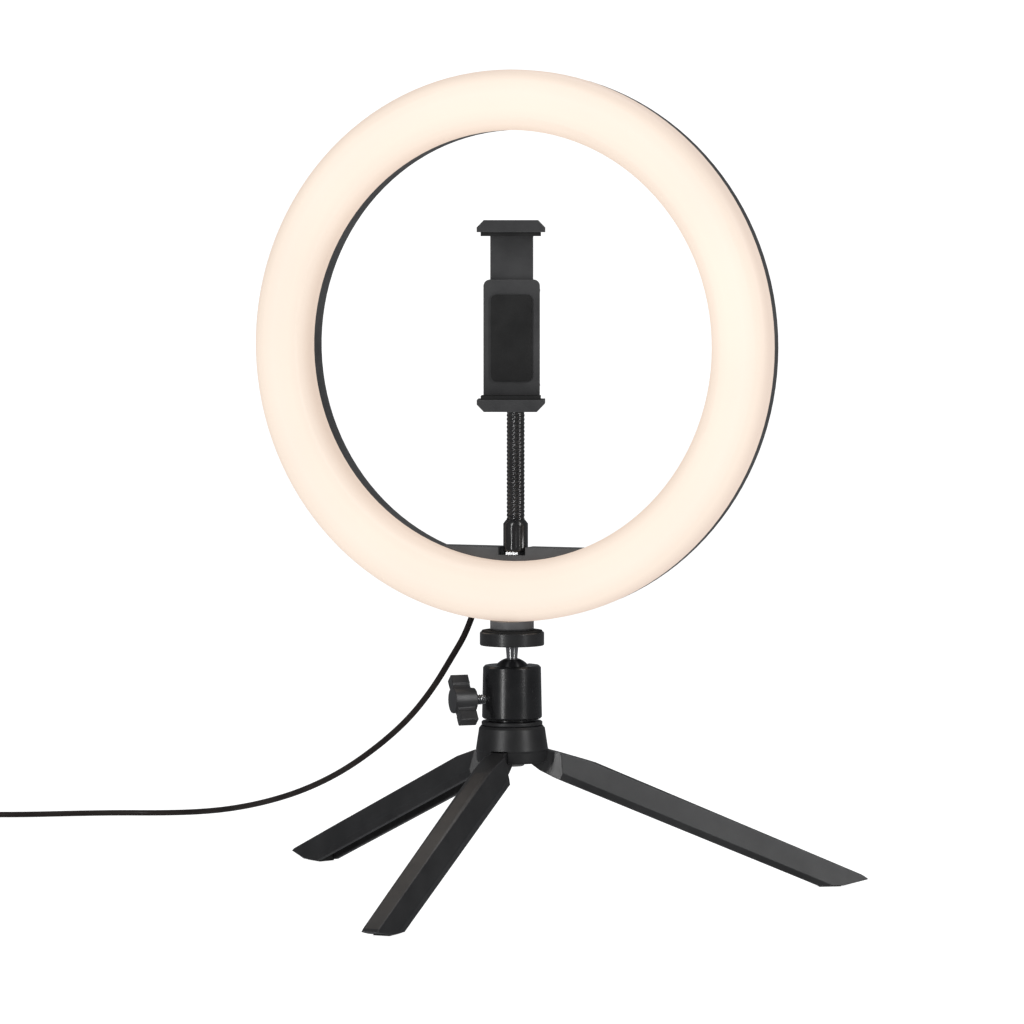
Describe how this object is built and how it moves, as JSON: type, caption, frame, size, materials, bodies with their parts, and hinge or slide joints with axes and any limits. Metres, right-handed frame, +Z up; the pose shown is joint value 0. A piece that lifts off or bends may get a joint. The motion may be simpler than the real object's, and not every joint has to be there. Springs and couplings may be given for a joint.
{
  "type": "ring light",
  "caption": "Desk ring light with an opal front, on a folding tripod with a ball head, with a gooseneck phone clamp and a USB lead.",
  "frame": {"origin": "on the surface the tripod stands on, at the centre of the footprint's bounding box, lead left out", "axes": "+Z up, the light faces -Y, +X to its right as seen from the front"},
  "size_m": [0.5844, 0.3894, 0.3905],
  "materials": {
    "leg_black": "satin black coating on pressed steel",
    "rubber_black": "matt moulded rubber",
    "hub_black": "fine-textured moulded plastic",
    "cap_black": "plain moulded plastic",
    "steel": "zinc-plated steel",
    "chrome": "polished chrome plate",
    "head_black": "gloss black anodised, turned",
    "nylon_white": "natural nylon",
    "knob_black": "satin moulded plastic",
    "shell_black": "fine-textured moulded ABS",
    "diffuser_cream": "translucent opal diffuser",
    "board_white": "white solder mask",
    "led_warm": "yellow phosphor",
    "led_cool": "pale phosphor",
    "foot_grey": "grey moulded plastic",
    "brass": "turned brass",
    "cord_dark": "soft PVC jacket",
    "neck_black": "ribbed flexible tube, satin black",
    "ferrule_black": "satin black turned metal",
    "clamp_grey": "dark grey moulded plastic",
    "remote_black": "fine-textured moulded ABS",
    "board_green": "green solder mask",
    "button_grey": "silicone keys",
    "plug_metal": "nickel-plated steel"
  },
  "bodies": {
    "tripod": {"tripod_hub": "hub_black", "leg_pins": "steel", "hub_cap": "cap_black", "head_stud": "steel", "pan_washer": "hub_black", "usb_cord": "cord_dark", "cord_coil": "cord_dark", "cord_tail": "cord_dark", "cord_end": "cord_dark", "remote_lower": "remote_black", "remote_upper": "remote_black", "remote_board": "board_green", "usb_plug_body": "cord_dark", "usb_plug_shell": "plug_metal"},
    "front_leg": {"leg_front": "leg_black", "foot_pad_front": "rubber_black"},
    "right_leg": {"leg_right": "leg_black", "foot_pad_right": "rubber_black"},
    "left_leg": {"leg_left": "leg_black", "foot_pad_left": "rubber_black"},
    "head": {"ball_housing": "head_black", "ball_seat": "nylon_white"},
    "lock_knob": {"clamp_screw": "steel", "clamp_knob": "knob_black"},
    "stem": {"ball_stem": "chrome"},
    "lock_ring": {"lock_disc": "head_black", "disc_pad": "rubber_black"},
    "light": {"rear_shell": "shell_black", "diffuser": "diffuser_cream", "housing_screws": "steel", "led_board": "board_white", "warm_leds": "led_warm", "cool_leds": "led_cool", "mount_foot": "foot_grey", "foot_insert": "brass", "web_insert": "brass", "strain_relief": "cord_dark"},
    "neck_base": {"lower_ferrule": "ferrule_black", "lock_nut": "steel", "neck_link_0": "neck_black"},
    "neck_1": {"neck_link_1": "neck_black"},
    "neck_2": {"neck_link_2": "neck_black"},
    "neck_3": {"neck_link_3": "neck_black"},
    "neck_4": {"neck_link_4": "neck_black"},
    "neck_5": {"neck_link_5": "neck_black", "upper_ferrule": "chrome"},
    "socket": {"socket_collar": "clamp_grey"},
    "clamp": {"clamp_body": "clamp_grey", "back_cover": "clamp_grey", "cover_screws": "steel", "back_pad": "rubber_black", "lower_pad": "rubber_black", "clamp_spring": "steel"},
    "jaw": {"upper_jaw": "clamp_grey", "upper_pad": "rubber_black"},
    "power_key": {"power_button": "button_grey"},
    "mode_key": {"mode_button": "button_grey"},
    "brightness_key": {"brightness_rocker": "button_grey"}
  },
  "joints": [
    {"name": "front_leg_fold", "type": "hinge", "parent": "tripod", "child": "front_leg", "pos_m": [0, 0.02947, 0.064], "axis": [1, 0, 0], "range_deg": [0, 66]},
    {"name": "right_leg_fold", "type": "hinge", "parent": "tripod", "child": "right_leg", "pos_m": [0.01039, 0.04747, 0.064], "axis": [-0.5, 0.866, 0], "range_deg": [0, 66]},
    {"name": "left_leg_fold", "type": "hinge", "parent": "tripod", "child": "left_leg", "pos_m": [-0.01039, 0.04747, 0.064], "axis": [-0.5, -0.866, 0], "range_deg": [0, 66]},
    {"name": "head_pan", "type": "hinge", "parent": "tripod", "child": "head", "pos_m": [0, 0.04147, 0.082], "axis": [0, 0, 1], "range_deg": [-90, 90], "deforming": ["usb_cord"]},
    {"name": "knob_turn", "type": "hinge", "parent": "head", "child": "lock_knob", "pos_m": [-0.01835, 0.02524, 0.0925], "axis": [-0.749, -0.6626, 0], "range_deg": [0, 540]},
    {"name": "ball_tilt", "type": "hinge", "parent": "head", "child": "stem", "pos_m": [0, 0.04147, 0.1021], "axis": [-1, 0, 0], "range_deg": [-28, 90], "deforming": ["usb_cord"]},
    {"name": "lock_ring_turn", "type": "hinge", "parent": "stem", "child": "lock_ring", "pos_m": [0, 0.04147, 0.1212], "axis": [0, 0, 1], "range_deg": [0, 360]},
    {"name": "light_swivel", "type": "hinge", "parent": "stem", "child": "light", "pos_m": [0, 0.04147, 0.129], "axis": [0, 0, 1], "range_deg": [-90, 90], "deforming": ["usb_cord"]},
    {"name": "neck_swivel", "type": "hinge", "parent": "light", "child": "neck_base", "pos_m": [0, 0.04617, 0.1615], "axis": [0, 0, 1], "range_deg": [-79.5, 40.5]},
    {"name": "neck_bend_1", "type": "hinge", "parent": "neck_base", "child": "neck_1", "pos_m": [0, 0.04617, 0.202], "axis": [0.9426, 0.3338, 0], "range_deg": [-8, 8]},
    {"name": "neck_bend_2", "type": "hinge", "parent": "neck_1", "child": "neck_2", "pos_m": [0, 0.04617, 0.221], "axis": [0.9426, 0.3338, 0], "range_deg": [-8, 8]},
    {"name": "neck_bend_3", "type": "hinge", "parent": "neck_2", "child": "neck_3", "pos_m": [0, 0.04617, 0.24], "axis": [0.9426, 0.3338, 0], "range_deg": [-8, 8]},
    {"name": "neck_bend_4", "type": "hinge", "parent": "neck_3", "child": "neck_4", "pos_m": [0.00063, 0.04438, 0.25876], "axis": [0.9426, 0.3338, 0], "range_deg": [-8, 8]},
    {"name": "neck_bend_5", "type": "hinge", "parent": "neck_4", "child": "neck_5", "pos_m": [0.00486, 0.03244, 0.27235], "axis": [0.9426, 0.3338, 0], "range_deg": [-8, 8]},
    {"name": "clamp_tilt", "type": "hinge", "parent": "neck_5", "child": "socket", "pos_m": [0.01335, 0.00846, 0.275], "axis": [0.9426, 0.3338, 0], "range_deg": [-20, 20]},
    {"name": "clamp_spin", "type": "hinge", "parent": "socket", "child": "clamp", "pos_m": [0.01602, 0.00092, 0.275], "axis": [0.3338, -0.9426, 0], "continuous": true},
    {"name": "jaw_slide", "type": "slide", "parent": "clamp", "child": "jaw", "axis": [0, 0, 1], "range_m": [-0.018, 0.014], "stiffness_N_per_m": 120, "deforming": ["clamp_spring"]},
    {"name": "power_press", "type": "slide", "parent": "tripod", "child": "power_key", "axis": [0, 0, 1], "range_m": [-0.0006, 0], "stiffness_N_per_m": 300},
    {"name": "mode_press", "type": "slide", "parent": "tripod", "child": "mode_key", "axis": [0, 0, 1], "range_m": [-0.0006, 0], "stiffness_N_per_m": 300},
    {"name": "brightness_rock", "type": "hinge", "parent": "tripod", "child": "brightness_key", "pos_m": [-0.3975, 0.09558, 0.0078], "axis": [0.9309, 0.3654, 0], "range_deg": [-2.5, 2.5], "stiffness_Nm_per_rad": 0.05}
  ],
  "couplings": [
    {"joint": "neck_bend_2", "follows": "neck_bend_1", "ratio": 1},
    {"joint": "neck_bend_3", "follows": "neck_bend_1", "ratio": 1},
    {"joint": "neck_bend_4", "follows": "neck_bend_1", "ratio": 1},
    {"joint": "neck_bend_5", "follows": "neck_bend_1", "ratio": 1}
  ]
}
